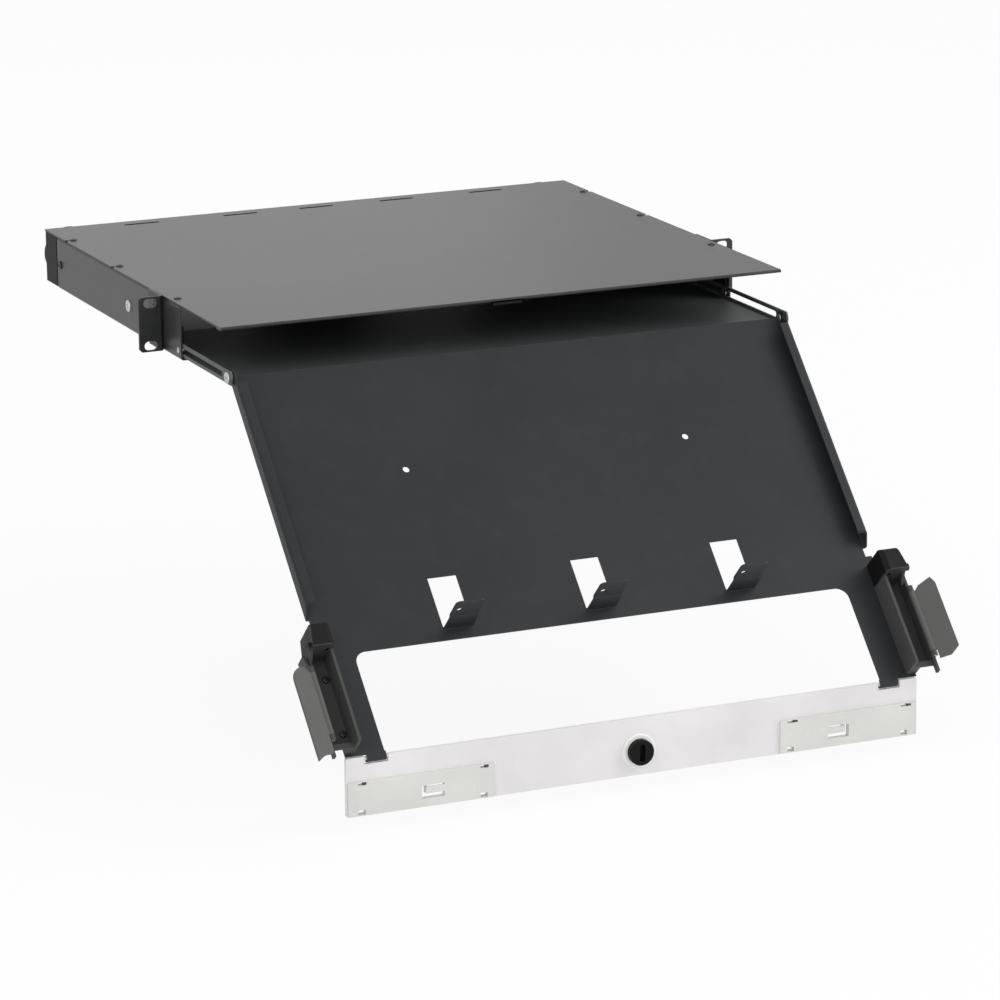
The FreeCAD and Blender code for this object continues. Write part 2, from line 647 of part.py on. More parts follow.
def tray_pan():
    reach = TRAY_HALF - SHEET / 2
    floor = -SHEET / 2
    lip = TRAY_WALL - SHEET / 2
    path = [(reach - TRAY_LIP + SHEET / 2, lip), (reach, lip), (reach, floor), (-reach, floor),
            (-reach, lip),
            (-reach + TRAY_LIP - SHEET / 2, lip)]
    lifted = [(a, b - TRAY_FLOOR_DROP) for a, b in path]
    pan = folded_sheet(lifted, SHEET, BEND, plane_xz(TRAY_REAR), (0, -(TRAY_WALL_END + TRAY_REAR), 0))
    arms = tray_box(-ARM_HALF, ARM_HALF, ARM_START, ARM_END, -SHEET, 0)
    bridge = tray_box(-TRAY_HALF + 3.0, TRAY_HALF - 3.0, TRAY_WALL_END - 1, ARM_START + 1, -SHEET, 0)
    pan = joined([pan, arms, bridge])
    lugs = []
    for side in (-1, 1):
        outer = side * TRAY_HALF
        inner = side * (TRAY_HALF - SHEET)
        lugs.append(rod(TRAY_LUG, (inner, 0, 0), (outer, 0, 0)).common(
            tray_box(inner, outer, -TRAY_LUG, 2.0, -SHEET, TRAY_WALL)))
    pan = joined([pan] + lugs)
    cuts = []
    for side in (-1, 1):
        slope = [tray_point(0, TRAY_WALL_END - TRAY_WALL_CHAMFER, TRAY_WALL + 0.1),
                 tray_point(0, TRAY_WALL_END + 0.1, 1.6),
                 tray_point(0, TRAY_WALL_END + 0.1, TRAY_WALL + 0.1)]
        outer = side * (TRAY_HALF + 1)
        points = [(outer, p.y, p.z) for p in slope]
        cuts.append(prism(points, (-side * (TRAY_LIP + 2), 0, 0)))
        cuts.append(rod(PIVOT_SHANK / 2 + PIVOT_FIT + BUSH_WALL, (side * (TRAY_HALF - 4), 0, 0),
                        (side * (TRAY_HALF + 1), 0, 0)))
        cuts.append(tray_box(side * (TRAY_HALF - SHEET - 0.01), side * (TRAY_HALF - 12), -TRAY_REAR - 1, 9.0,
                             TRAY_WALL - SHEET - 0.2, TRAY_WALL + 1))
    cut_out = tray_box(-CUT_HALF, CUT_HALF, CUT_REAR, ARM_END + 20, -5, 5)
    corner = [e for e in cut_out.Edges if e.BoundBox.ZLength > 5
              and abs(e.BoundBox.Center.y + CUT_REAR) < 0.1]
    cuts.append(cut_out.makeFillet(CUT_RADIUS, corner))
    for u in bay_places():
        cuts.append(tray_box(u - WINDOW_WIDTH / 2, u + WINDOW_WIDTH / 2, WINDOW_REAR,
                             WINDOW_REAR + WINDOW_LENGTH - SHEET - BEND, -5, 5))
    for side in (-1, 1):
        centre = tray_point(side * BAY_PITCH, FLOOR_HOLE_FORWARD, 0)
        cuts.append(rod(FLOOR_HOLE / 2, (centre.x, centre.y, centre.z - 3),
                        (centre.x, centre.y, centre.z + 3)))
        for forward in guide_screw_places():
            p = tray_point(side * guide_screw_across(), forward, 0)
            cuts.append(rod(SCREW_SHANK / 2 + 0.1, (p.x, p.y, p.z - 3), (p.x, p.y, p.z + 3)))
    pan = pan.cut(Part.makeCompound(cuts))
    extras = [divider_tab(u) for u in bay_places()]
    for side in (-1, 1):
        extras.append(door_hook(side * HOOK_CENTRE))
    return joined([pan] + extras)


def bay_places():
    middle = (BAY_COUNT - 2) / 2
    return [BAY_PITCH * (k - middle) for k in range(BAY_COUNT - 1)]


def divider_tab(u):
    """Tab lanced from the floor and folded up at the window's front edge."""
    fold = WINDOW_REAR + WINDOW_LENGTH
    path = [(-(fold + 1.0), -SHEET / 2), (-(fold - SHEET / 2), -SHEET / 2),
            (-(fold - SHEET / 2), TAB_JOGGLE),
            (-(fold - SHEET / 2 - 1.4), TAB_JOGGLE + 2.4), (-(fold - SHEET / 2 - 1.4), TAB_HEIGHT)]
    lifted = [(a, b - TRAY_FLOOR_DROP) for a, b in path]
    tab = folded_sheet(lifted, SHEET, BEND, plane_yz(u - WINDOW_WIDTH / 2), (WINDOW_WIDTH, 0, 0))
    corners = [e for e in tab.Edges if abs(e.BoundBox.Center.z - (TAB_HEIGHT - TRAY_FLOOR_DROP)) < 0.01
               and abs(e.Length - SHEET) < 0.01]
    tab = tab.makeFillet(3.0, corners)
    hole = tray_point(u - WINDOW_WIDTH / 2 + TAB_HOLE_INSET, fold, TAB_HOLE_HEIGHT)
    return tab.cut(rod(TAB_HOLE / 2, (hole.x, hole.y - 5, hole.z), (hole.x, hole.y + 5, hole.z)))


def door_hook(u):
    """Rolled hook at the end of a tray arm, round the door's hinge bar."""
    radius = HOOK_BORE + SHEET
    axis = tray_point(u, DOOR_HINGE_FORWARD, hinge_up())
    left = u - HOOK_HALF
    right = u + HOOK_HALF
    strip = tray_box(left, right, ARM_END - 1, DOOR_HINGE_FORWARD, -SHEET, 0)
    roll = ring(radius, HOOK_BORE, (left, axis.y, axis.z), (right, axis.y, axis.z))
    # The roll runs from the top of the bar forward and under it; the mouth faces back.
    mouth_angle = 360 - HOOK_WRAP
    far = radius * 3
    a0 = math.radians(90)
    a1 = math.radians(90 - mouth_angle)
    mid = math.radians(90 - mouth_angle / 2)
    mouth = [(left - 1, axis.y + 0.001, axis.z)]
    for angle in (a0, mid, a1):
        mouth.append((left - 1, axis.y + far * math.cos(angle), axis.z + far * math.sin(angle)))
    roll = roll.cut(prism(mouth, (2 * HOOK_HALF + 2, 0, 0)))
    return strip.fuse(roll)


def pivot_bush():
    """Right flanged bush, pressed into the tray wall from outside."""
    bore = PIVOT_SHANK / 2 + PIVOT_FIT
    sleeve = ring(bore + BUSH_WALL, bore, (TRAY_HALF - SHEET - BUSH_PROUD, 0, 0), (TRAY_HALF, 0, 0))
    flange = ring(BUSH_FLANGE / 2, bore, (TRAY_HALF, 0, 0), (TRAY_HALF + BUSH_FLANGE_THICK, 0, 0))
    return joined([sleeve, flange])


def guide_screw_places():
    return [GUIDE_TROUGH + 16.0, GUIDE_FRONT - 14.0]


def guide_screw_across():
    return GUIDE_INNER + GUIDE_WALL + SCREW_HEAD / 2


def guide_housing():
    """Hollow rear head of a cord guide, wider at its front, with sloped top edges."""
    def plan(inset):
        back = GUIDE_REAR + inset
        front = GUIDE_TROUGH + 1.0 - inset
        return [(GUIDE_INNER + inset, back), (GUIDE_HOUSING_REAR - inset, back),
                (GUIDE_HOUSING_FRONT - inset, front), (GUIDE_INNER + inset, front)]

    def block(inset, low, high):
        points = [tray_point(u, f, low) for u, f in plan(inset)]
        return prism([tuple(p) for p in points], (0, 0, high - low))

    head = block(0, GUIDE_SEAT, GUIDE_HOUSING_TOP)
    top = GUIDE_HOUSING_TOP - TRAY_FLOOR_DROP
    back = -GUIDE_REAR
    upper = [e for e in head.Edges if abs(e.BoundBox.Center.z - top) < 0.01]
    rear_edge = [e for e in upper if abs(e.BoundBox.YMin - back) < 0.01]
    head = head.makeFillet(5.0, rear_edge)
    slope = prism([(GUIDE_INNER - 1, 0, top - 4.0), (GUIDE_INNER + 4.0, 0, top + 1.0),
                   (GUIDE_INNER - 1, 0, top + 1.0)],
                  (0, -2 * GUIDE_FRONT, 0))
    head = head.cut(slope)
    head = head.cut(block(GUIDE_WALL, GUIDE_SEAT - 1, GUIDE_HOUSING_TOP - 5.0 - GUIDE_WALL))
    hole = tray_point(GUIDE_INNER + 4.2, GUIDE_TROUGH, GUIDE_HOUSING_TOP - 8.5)
    return head.cut(rod(2.0, (hole.x, hole.y - 5, hole.z), (hole.x, hole.y + 5, hole.z)))


def cord_guide():
    """Right cord guide: an open trough with a flared rear end, moulded in one piece."""
    seat = GUIDE_SEAT
    base = tray_box(GUIDE_INNER, GUIDE_OUTER, GUIDE_TROUGH, GUIDE_FRONT, seat, seat + GUIDE_BASE)
    inner = tray_box(GUIDE_INNER, GUIDE_INNER + GUIDE_WALL, GUIDE_TROUGH, GUIDE_FRONT, seat, GUIDE_INNER_TOP)
    outer = tray_box(GUIDE_OUTER - GUIDE_WALL, GUIDE_OUTER, GUIDE_TROUGH, GUIDE_FRONT, seat, GUIDE_OUTER_TOP)
    block = tray_box(GUIDE_INNER, GUIDE_OUTER + 1.0, GUIDE_FRONT - GUIDE_BLOCK, GUIDE_FRONT, seat, 9.5)
    housing = guide_housing()
    gusset_low = tray_point(0, GUIDE_TROUGH - 0.5, GUIDE_OUTER_TOP - 1.0)
    gusset_high = tray_point(0, GUIDE_TROUGH - 0.5, GUIDE_OUTER_TOP + 11.0)
    gusset_front = tray_point(0, GUIDE_TROUGH + 7.0, GUIDE_OUTER_TOP - 1.0)
    gusset = prism([(GUIDE_HOUSING_FRONT - 2.2, p.y, p.z) for p in (gusset_low, gusset_high,
                                                                    gusset_front)], (2.0, 0, 0))
    boss_start = tray_point(GUIDE_HOUSING_FRONT - 2.5, GUIDE_TROUGH - 1.5, GUIDE_HOUSING_TOP - 5.0)
    boss = rod(2.7, tuple(boss_start), (boss_start.x + 4.6, boss_start.y, boss_start.z))
    lug = tray_box(GUIDE_OUTER - GUIDE_WALL, GUIDE_OUTER, GUIDE_FRONT - 1.0, GUIDE_FRONT + GUIDE_LUG,
                   GUIDE_OUTER_TOP - 4.0, GUIDE_OUTER_TOP)
    body = joined([base, inner, outer, block, housing, gusset, boss, lug])
    bevel = [tray_point(ARM_HALF + 0.5, GUIDE_FRONT - 8.5, seat - 0.1),
             tray_point(ARM_HALF + 0.5, GUIDE_FRONT + 0.1, seat - 0.1),
             tray_point(ARM_HALF + 0.5, GUIDE_FRONT + 0.1, seat + 8.0)]
    cuts = [prism([tuple(p) for p in bevel], (20.0, 0, 0))]
    for forward in guide_screw_places():
        p = tray_point(guide_screw_across(), forward, 0)
        cuts.append(rod(SCREW_SHANK / 2 + 0.1, (p.x, p.y, p.z - 1), (p.x, p.y, p.z + 6)))
    body = body.cut(Part.makeCompound(cuts))
    knuckles = []
    for start, end in guide_knuckles():
        hub0 = tray_point(FLAP_U, start, FLAP_N)
        hub1 = tray_point(FLAP_U, end, FLAP_N)
        knuckle = rod(FLAP_KNUCKLE, tuple(hub0), tuple(hub1))
        web = tray_box(GUIDE_OUTER - GUIDE_WALL, GUIDE_OUTER, start, end, GUIDE_OUTER_TOP - 0.5, FLAP_N)
        bore = rod(FLAP_PIN + 0.02, tuple(tray_point(FLAP_U, start - 1, FLAP_N)),
                   tuple(tray_point(FLAP_U, end + 1, FLAP_N)))
        knuckles.append(joined([knuckle, web]).cut(bore))
    return joined([body] + knuckles)


def flap_span():
    return (FLAP_REAR, FLAP_FRONT)


def guide_knuckles():
    start, end = flap_span()
    return [(start - 4.6, start - 0.3), (end - 4.0 + 0.3 - 2.0, end - 2.0)]


def flap_pin():
    start, end = flap_span()
    a = tray_point(FLAP_U, start - 4.8, FLAP_N)
    b = tray_point(FLAP_U, end - 1.8, FLAP_N)
    return rod(FLAP_PIN, tuple(a), tuple(b))


def guide_flap(rear_edge, front_edge):
    """Right flap, drawn flat from its hinge barrel and then turned to its angle."""
    start, end = flap_span()
    barrel_end = end - 6.0
    outline = [(0, barrel_end), (0, start), (FLAP_ROOT, start)] + rear_edge + front_edge
    outline.append((FLAP_ROOT, barrel_end))
    points = [tuple(Vector(w, -f, -FLAP_THICK / 2)) for w, f in outline]
    plate = prism(points, (0, 0, FLAP_THICK))
    barrel = rod(FLAP_KNUCKLE, (0, -start, 0), (0, -barrel_end, 0))
    flap = joined([plate, barrel])
    flap = flap.cut(rod(FLAP_PIN + FLAP_PIN_FIT, (0, -start + 20, 0), (0, -end - 20, 0)))
    flap.rotate(Vector(0, 0, 0), Vector(0, 1, 0), -FLAP_ANGLE)
    flap.translate(Vector(FLAP_U, 0, FLAP_N - TRAY_FLOOR_DROP))
    return flap


def short_flap_rear():
    """Edge that rises to a small outer chamfer."""
    return [(FLAP_ROOT + 3.0, FLAP_REAR - 3.0), (FLAP_WIDTH - 2.5, FLAP_REAR - 6.7),
            (FLAP_WIDTH, FLAP_REAR - 1.5)]


def short_flap_front():
    """Chamfer and a straight edge back to the hinge."""
    end = FLAP_FRONT + 1.0
    return [(FLAP_WIDTH, end - 5.0), (FLAP_WIDTH - 7.0, end), (FLAP_ROOT, end)]


def long_flap_rear():
    """Broad round outer corner."""
    curve = []
    for k in range(7):
        angle = math.radians(15 * k)
        curve.append((FLAP_WIDTH - FLAP_CORNER * (1 - math.sin(angle)),
                      FLAP_REAR + 8.0 - FLAP_CORNER * math.cos(angle)))
    return curve


def long_flap_front():
    """Pointed outer tip with a hollow curved front edge."""
    deep = FLAP_TIP - 6.5
    curve = []
    for k in range(7):
        share = k / 6
        width = FLAP_WIDTH - (FLAP_WIDTH - 5.0) * share
        curve.append((width, FLAP_TIP - (FLAP_TIP - deep) * math.sin(math.radians(90 * share))))
    return curve + [(FLAP_ROOT, deep - 1.0)]


# Door, drawn hanging straight down from its hinge axis

def door_axis():
    hub = tray_point(0, DOOR_HINGE_FORWARD, hinge_up())
    return tilt_turn.multVec(hub) + pivot_point


def on_door(shape):
    placed = shape.copy()
    placed.translate(door_axis())
    return placed


def door_panel():
    """Moulded panel with a rim, two hinge bars left by slots, and the latch hole."""
    half = DOOR_WIDTH / 2
    top = DOOR_BAR_TO_EDGE
    bottom = top - DOOR_HEIGHT
    skin = DOOR_THICK / 2
    panel = box(-half, half, -skin, skin, bottom, top)
    upright = [e for e in panel.Edges if abs(e.Length - DOOR_THICK) < 0.01]
    panel = panel.makeFillet(1.2, upright)
    rib = box(-half + 1.0, half - 1.0, skin - 0.1, skin + DOOR_RIM_HEIGHT, bottom + 0.4,
              bottom + 0.4 + DOOR_RIM)
    panel = panel.fuse(rib)
    cuts = []
    bars = []
    for side in (-1, 1):
        left = side * HOOK_CENTRE - HOOK_HALF - DOOR_SLOT_SIDE
        right = side * HOOK_CENTRE + HOOK_HALF + DOOR_SLOT_SIDE
        cuts.append(box(left, right, -10, 10, -DOOR_SLOT_DEEP, top + 1))
        bars.append(rod(DOOR_BAR, (left - 0.5, 0, 0), (right + 0.5, 0, 0)))
    cuts.append(rod(LATCH_BORE / 2 + LATCH_FIT, (0, -10, knob_level()), (0, 10, knob_level())))
    for side in (-1, 1):
        for x, z, half in label_catch_places():
            cuts.append(box(side * x - CATCH_LENGTH / 2, side * x + CATCH_LENGTH / 2, -10, 10, z - half,
                            z + half))
        cuts.append(clip_window(side))
    panel = panel.cut(Part.makeCompound(cuts))
    return joined([panel] + bars)


def knob_level():
    return DOOR_BAR_TO_EDGE - DOOR_KNOB_DROP


def label_span():
    outer = DOOR_WIDTH / 2 - 0.8
    return (outer - LABEL_LENGTH, outer)


def label_rows():
    return (DOOR_BAR_TO_EDGE - LABEL_TOP, DOOR_BAR_TO_EDGE - DOOR_HEIGHT + LABEL_FOOT)


def label_catch_places():
    """Middle and half height of each catch slot: narrow above, taller at the door's foot."""
    start, end = label_span()
    top, foot = label_rows()
    across = (start + CATCH_INSET, end - CATCH_INSET)
    return [(x, top - 1.4, 1.1) for x in across] + [(x, foot + 2.4, 1.7) for x in across]


def clip_window(side):
    start, end = label_span()
    x = side * (end - CLIP_FROM_END)
    z = DOOR_BAR_TO_EDGE - CLIP_DROP
    window = box(x - CLIP_LENGTH / 2, x + CLIP_LENGTH / 2, -10, 10, z - CLIP_HEIGHT / 2, z + CLIP_HEIGHT / 2)
    corners = [e for e in window.Edges if e.Length > 19]
    return window.makeFillet(1.0, corners)


def label_holder():
    """Right label holder: a clear plate with a card pocket, held by catches and a spring tongue."""
    start, end = label_span()
    top, foot = label_rows()
    face = -DOOR_THICK / 2 - SEAT
    back = face - LABEL_THICK
    frame = box(start, end, back, face, foot, top)
    upright = [e for e in frame.Edges if abs(e.Length - LABEL_THICK) < 0.01]
    frame = frame.makeFillet(0.8, upright)
    pocket = box(start + LABEL_LIP, end - LABEL_LIP, back + 0.7, face + 0.01, foot + 5.5, top - 4.0)
    window = clip_window(1)
    middle = Vector(end - CLIP_FROM_END, 0, DOOR_BAR_TO_EDGE - CLIP_DROP)
    guard = box(middle.x - CLIP_LENGTH / 2 - 1.6, middle.x + CLIP_LENGTH / 2 + 1.6, -10, 10,
                middle.z - CLIP_HEIGHT / 2 - 1.6, middle.z + CLIP_HEIGHT / 2 + 1.6)
    frame = frame.cut(pocket.cut(guard)).cut(window)
    tongue = box(middle.x - CLIP_LENGTH / 2 - 0.5, middle.x + CLIP_LENGTH / 2 - 3.0, back, back + 1.0,
                 middle.z - 1.2, middle.z + CLIP_HEIGHT / 2 - 1.0)
    hook = box(middle.x + CLIP_LENGTH / 2 - 4.4, middle.x + CLIP_LENGTH / 2 - 3.0, back, DOOR_THICK / 2,
               middle.z - 1.2, middle.z + CLIP_HEIGHT / 2 - 1.0)
    catches = []
    for x, z, half in label_catch_places():
        slot = box(x - CATCH_LENGTH / 2 + 0.2, x + CATCH_LENGTH / 2 - 2.2, -10, 10, z - half, z + half)
        frame = frame.cut(slot)
        right = x + CATCH_LENGTH / 2 - 0.2
        catches.append(box(right - 1.9, right, face - 0.1, DOOR_THICK / 2 + 0.9, z - 0.8, z + 0.8))
    return joined([frame, tongue, hook] + catches)


def label_card():
    start, end = label_span()
    top, foot = label_rows()
    face = -DOOR_THICK / 2 - SEAT
    card = box(start + LABEL_LIP + 0.2, end - LABEL_LIP - 0.2, face - 0.1 - LABEL_CARD, face - 0.1,
               foot + 5.8, top - 4.3)
    middle = Vector(end - CLIP_FROM_END, 0, DOOR_BAR_TO_EDGE - CLIP_DROP)
    return card.cut(box(middle.x - CLIP_LENGTH / 2 - 2.0, middle.x + CLIP_LENGTH / 2 + 2.0, -10, 10,
                        middle.z - CLIP_HEIGHT / 2 - 2.0, middle.z + CLIP_HEIGHT / 2 + 2.0))


def latch_bezel():
    """Collar pressed on the inner face of the door round the latch."""
    z = knob_level()
    face = -DOOR_THICK / 2
    collar = ring(BEZEL_DIAMETER / 2, LATCH_BORE / 2 + 0.4, (0, face - BEZEL_THICK, z), (0, face, z))
    rim = [e for e in collar.Edges if abs(e.BoundBox.Center.y - (face - BEZEL_THICK)) < 0.01
           and e.BoundBox.XLength > BEZEL_DIAMETER - 1]
    return collar.makeFillet(0.7, rim)


def latch_rotor():
    """Black turning hub seen on the inner face, with an upright slot."""
    z = knob_level()
    face = -DOOR_THICK / 2 - BEZEL_THICK - 0.15
    disc = rod(KNOB_DIAMETER / 2, (0, face - KNOB_HEIGHT, z), (0, face, z))
    rim = [e for e in disc.Edges if abs(e.BoundBox.Center.y - (face - KNOB_HEIGHT)) < 0.01]
    disc = disc.makeFillet(1.0, rim)
    shaft = rod(LATCH_BORE / 2, (0, face - 0.5, z), (0, DOOR_THICK / 2 + 0.6, z))
    hub = disc.fuse(shaft)
    slot = obround(LATCH_SLOT_LENGTH, LATCH_SLOT_WIDTH, (0, face - KNOB_HEIGHT, z), (0, 0, 1), (0, 1, 0),
                   2 * (KNOB_HEIGHT - 1.0))
    hub = hub.cut(slot)
    drive = box(-2.0, 2.0, DOOR_THICK / 2 - 2.6, DOOR_THICK / 2 + 1.0, z - 2.0, z + 2.0)
    return hub.cut(drive)


def latch_knob():
    """Outer finger knob with a raised grip, keyed into the hub."""
    z = knob_level()
    face = DOOR_THICK / 2 + 0.7
    disc = rod(KNOB_DIAMETER / 2, (0, face, z), (0, face + 2.0, z))
    grip = box(-1.9, 1.9, face + 1.5, face + 8.0, z - KNOB_DIAMETER / 2 + 1.0, z + KNOB_DIAMETER / 2 - 1.0)
    ends = [e for e in grip.Edges if abs(e.BoundBox.Center.y - face - 8.0) < 0.01]
    grip = grip.makeFillet(1.2, ends)
    key = box(-1.9, 1.9, DOOR_THICK / 2 - 2.3, face + 0.5, z - 1.9, z + 1.9)
    return joined([disc, grip, key])


# Build the chassis pieces
save("chassis_pan", chassis_pan())
save("top_cover", top_cover())
save("rear_panel", rear_panel())
save_pair("rack_ear", rack_ear())
save_pair("rail_guide", rail_guide())
save_pair("cable_gland", cable_gland())
save_pair("gland_nut", gland_nut())
save_pair("gland_seal", gland_seal())
save("latch_keeper", latch_keeper())

ear_screws = []
for ear_y, ear_z in ear_screw_places():
    seat_x = CHASSIS_HALF + SEAT + EAR_SHEET
    ear_screws += both_sides(pan_screw((seat_x, ear_y, ear_z), (1, 0, 0), length=EAR_SHEET + SEAT + SHEET))
save_group("ear_screws", ear_screws)

cover_screws = []
for cover_x, cover_y in cover_screw_places():
    cover_screws.append(pan_screw((cover_x, cover_y, CHASSIS_TOP), (0, 0, 1), thick=1.0, head=5.5,
                                  length=2 * SHEET + 1.5))
save_group("cover_screws", cover_screws)

panel_y, panel_z = rear_screw_place()
save_group("rear_panel_screws", both_sides(pan_screw((CHASSIS_HALF, panel_y, panel_z), (1, 0, 0))))

side_y, side_z = side_screw_place()
save_group("side_screws",
           both_sides(pan_screw((CHASSIS_HALF, side_y, side_z), (1, 0, 0), head=9.0, thick=1.4,
                                         length=SHEET + RAIL_GUIDE_THICK)))

rail_pins = []
for pin_y in rail_pin_places():
    rail_pins += both_sides(rail_pin(pin_y))
save_group("rail_pins", rail_pins)

# Build the rails and the pivots
save("slide_carriage", slide_carriage())
save_group("pivot_rivets", both_sides(pivot_rivet()))

# Build the tray
save("tray_pan", tilted(tray_pan()))
bush = pivot_bush()
save_group("pivot_bushes", [tilted(s) for s in both_sides(bush)])
guide = cord_guide()
save("right_cord_guide", tilted(guide))
save("left_cord_guide", tilted(mirrored(guide)))
guide_screws = []
for forward in guide_screw_places():
    place = tray_point(guide_screw_across(), forward, GUIDE_SEAT + GUIDE_BASE)
    guide_screws += both_sides(pan_screw(tuple(place), (0, 0, 1), head=5.2, length=4.6))
save_group("guide_screws", [tilted(s) for s in guide_screws])
save("right_guide_flap", tilted(guide_flap(short_flap_rear(), short_flap_front())))
save("left_guide_flap", tilted(mirrored(guide_flap(long_flap_rear(), long_flap_front()))))
save("right_flap_pin", tilted(flap_pin()))
save("left_flap_pin", tilted(mirrored(flap_pin())))

# Build the door
save("front_door", on_door(door_panel()))
save("right_label_holder", on_door(label_holder()))
save("left_label_holder", on_door(mirrored(label_holder())))
save("right_label_card", on_door(label_card()))
save("left_label_card", on_door(mirrored(label_card())))
save("latch_bezel", on_door(latch_bezel()))
save("latch_rotor", on_door(latch_rotor()))
save("latch_knob", on_door(latch_knob()))
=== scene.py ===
import bmesh
import bpy
import json
import math
from mathutils import Matrix, Vector


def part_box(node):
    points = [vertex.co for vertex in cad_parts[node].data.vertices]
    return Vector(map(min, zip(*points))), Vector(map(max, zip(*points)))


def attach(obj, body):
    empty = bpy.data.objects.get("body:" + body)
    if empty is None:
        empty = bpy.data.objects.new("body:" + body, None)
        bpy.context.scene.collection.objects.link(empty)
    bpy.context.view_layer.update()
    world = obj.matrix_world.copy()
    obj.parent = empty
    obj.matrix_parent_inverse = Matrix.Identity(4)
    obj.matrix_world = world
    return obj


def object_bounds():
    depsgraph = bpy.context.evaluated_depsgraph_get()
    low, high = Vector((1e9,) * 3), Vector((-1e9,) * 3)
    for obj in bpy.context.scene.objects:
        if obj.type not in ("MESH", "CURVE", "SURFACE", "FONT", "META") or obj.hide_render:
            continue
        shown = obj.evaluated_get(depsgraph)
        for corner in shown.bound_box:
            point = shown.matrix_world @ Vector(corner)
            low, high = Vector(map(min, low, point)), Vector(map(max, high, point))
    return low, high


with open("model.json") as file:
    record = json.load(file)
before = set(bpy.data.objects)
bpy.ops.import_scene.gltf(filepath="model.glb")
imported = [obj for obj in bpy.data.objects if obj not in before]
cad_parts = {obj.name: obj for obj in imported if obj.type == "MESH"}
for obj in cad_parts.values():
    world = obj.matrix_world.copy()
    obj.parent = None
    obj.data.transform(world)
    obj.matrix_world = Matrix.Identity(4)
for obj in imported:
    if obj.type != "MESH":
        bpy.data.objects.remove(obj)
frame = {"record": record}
cad_low, cad_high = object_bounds()
scene = bpy.context.scene
scene.view_settings.view_transform = "Standard"


# Camera at the photograph's place

CAMERA_PLACE = Vector((-1.368963, -3.226713, 0.765449))
CAMERA_YAW = 23.655
CAMERA_PITCH = 14.785
CAMERA_ROLL = -0.586
CAMERA_LENS = 172.364
SENSOR_WIDTH = 36.0
CLIP_NEAR = 0.1
CLIP_FAR = 30.0


def place_camera():
    """Yaw turns from +Y toward +X, pitch is below the horizon, both in degrees."""
    yaw, pitch, roll = (math.radians(a) for a in (CAMERA_YAW, CAMERA_PITCH, CAMERA_ROLL))
    level = math.cos(pitch)
    forward = Vector((math.sin(yaw) * level, math.cos(yaw) * level, -math.sin(pitch)))
    level_right = Vector((math.cos(yaw), -math.sin(yaw), 0))
    level_up = level_right.cross(forward)
    right = math.cos(roll) * level_right + math.sin(roll) * level_up
    up = -math.sin(roll) * level_right + math.cos(roll) * level_up
    data = bpy.data.cameras.new("photo_camera")
    data.sensor_fit = "HORIZONTAL"
    data.sensor_width = SENSOR_WIDTH
    data.lens = CAMERA_LENS
    data.clip_start = CLIP_NEAR
    data.clip_end = CLIP_FAR
    camera = bpy.data.objects.new("photo_camera", data)
    scene.collection.objects.link(camera)
    turn = Matrix((right, up, -forward)).transposed()
    camera.matrix_world = Matrix.Translation(CAMERA_PLACE) @ turn.to_4x4()
    scene.camera = camera


place_camera()


# Direction of the tilted tray, from the record

tray_joint = next(j for j in frame["record"]["behaviour"]["joints"] if j["name"] == "tray_tilt")
tilt = math.radians(tray_joint["range_deg"][1])
tilt_pivot = Vector(tray_joint["pos_m"])
down_tray = Vector((0, -math.cos(tilt), -math.sin(tilt)))

# Distance from the tilt axis to the cord guides' troughs, and the length of the change of shade there
TROUGH_START = 0.2305
SHADE_CHANGE = 0.0015


# Materials

EDGE_SAMPLES = 4
EDGE_TO_FLAT = (0.75, 0.99)


